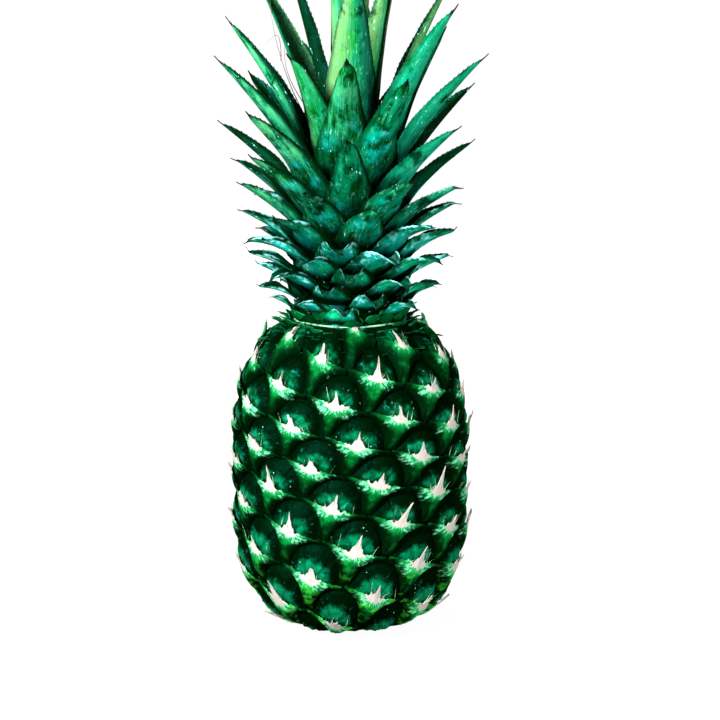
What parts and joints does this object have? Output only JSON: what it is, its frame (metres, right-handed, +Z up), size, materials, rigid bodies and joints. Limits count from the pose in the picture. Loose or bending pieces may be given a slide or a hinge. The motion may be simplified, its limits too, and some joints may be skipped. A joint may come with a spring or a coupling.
{
  "type": "whole pineapple",
  "caption": "Whole fresh pineapple with its rind and crown of leaves, standing upright on a small flat spot at its cut stem.",
  "frame": {"origin": "centre of the flat spot at the underside that the fruit stands on", "axes": "+Z up along the core from the cut stem to the crown, -Y towards the side shown in the picture, +X to that view's right"},
  "size_m": [0.127, 0.1274, 0.3521],
  "materials": {
    "rind": "waxy green rind, domed eyes with pale papery bract tips",
    "cut_stem": "dry fibrous cut",
    "crown_base": "waxy blue-green leaf bases",
    "leaf": "waxy green leaf with a powdery bloom"
  },
  "bodies": {
    "root": {"fruit": "rind", "stem_cut": "cut_stem", "crown_base": "crown_base", "leaf_01": "leaf", "leaf_02": "leaf", "leaf_03": "leaf", "leaf_04": "leaf", "leaf_05": "leaf", "leaf_06": "leaf", "leaf_07": "leaf", "leaf_08": "leaf", "leaf_09": "leaf", "leaf_10": "leaf", "leaf_11": "leaf", "leaf_12": "leaf", "leaf_13": "leaf", "leaf_14": "leaf", "leaf_15": "leaf", "leaf_16": "leaf", "leaf_17": "leaf", "leaf_18": "leaf", "leaf_19": "leaf", "leaf_20": "leaf", "leaf_21": "leaf", "leaf_22": "leaf", "leaf_23": "leaf", "leaf_24": "leaf", "leaf_25": "leaf", "leaf_26": "leaf", "leaf_27": "leaf", "leaf_28": "leaf", "leaf_29": "leaf", "leaf_30": "leaf", "leaf_31": "leaf", "leaf_32": "leaf", "leaf_33": "leaf", "leaf_34": "leaf", "leaf_35": "leaf", "leaf_36": "leaf", "leaf_37": "leaf", "leaf_38": "leaf", "leaf_39": "leaf", "leaf_40": "leaf", "leaf_41": "leaf", "leaf_42": "leaf", "leaf_43": "leaf", "leaf_44": "leaf", "leaf_45": "leaf", "leaf_46": "leaf", "leaf_47": "leaf", "leaf_48": "leaf", "leaf_49": "leaf", "leaf_50": "leaf", "leaf_51": "leaf", "leaf_52": "leaf", "leaf_53": "leaf", "leaf_54": "leaf", "leaf_55": "leaf", "leaf_56": "leaf", "leaf_57": "leaf"}
  },
  "joints": []
}
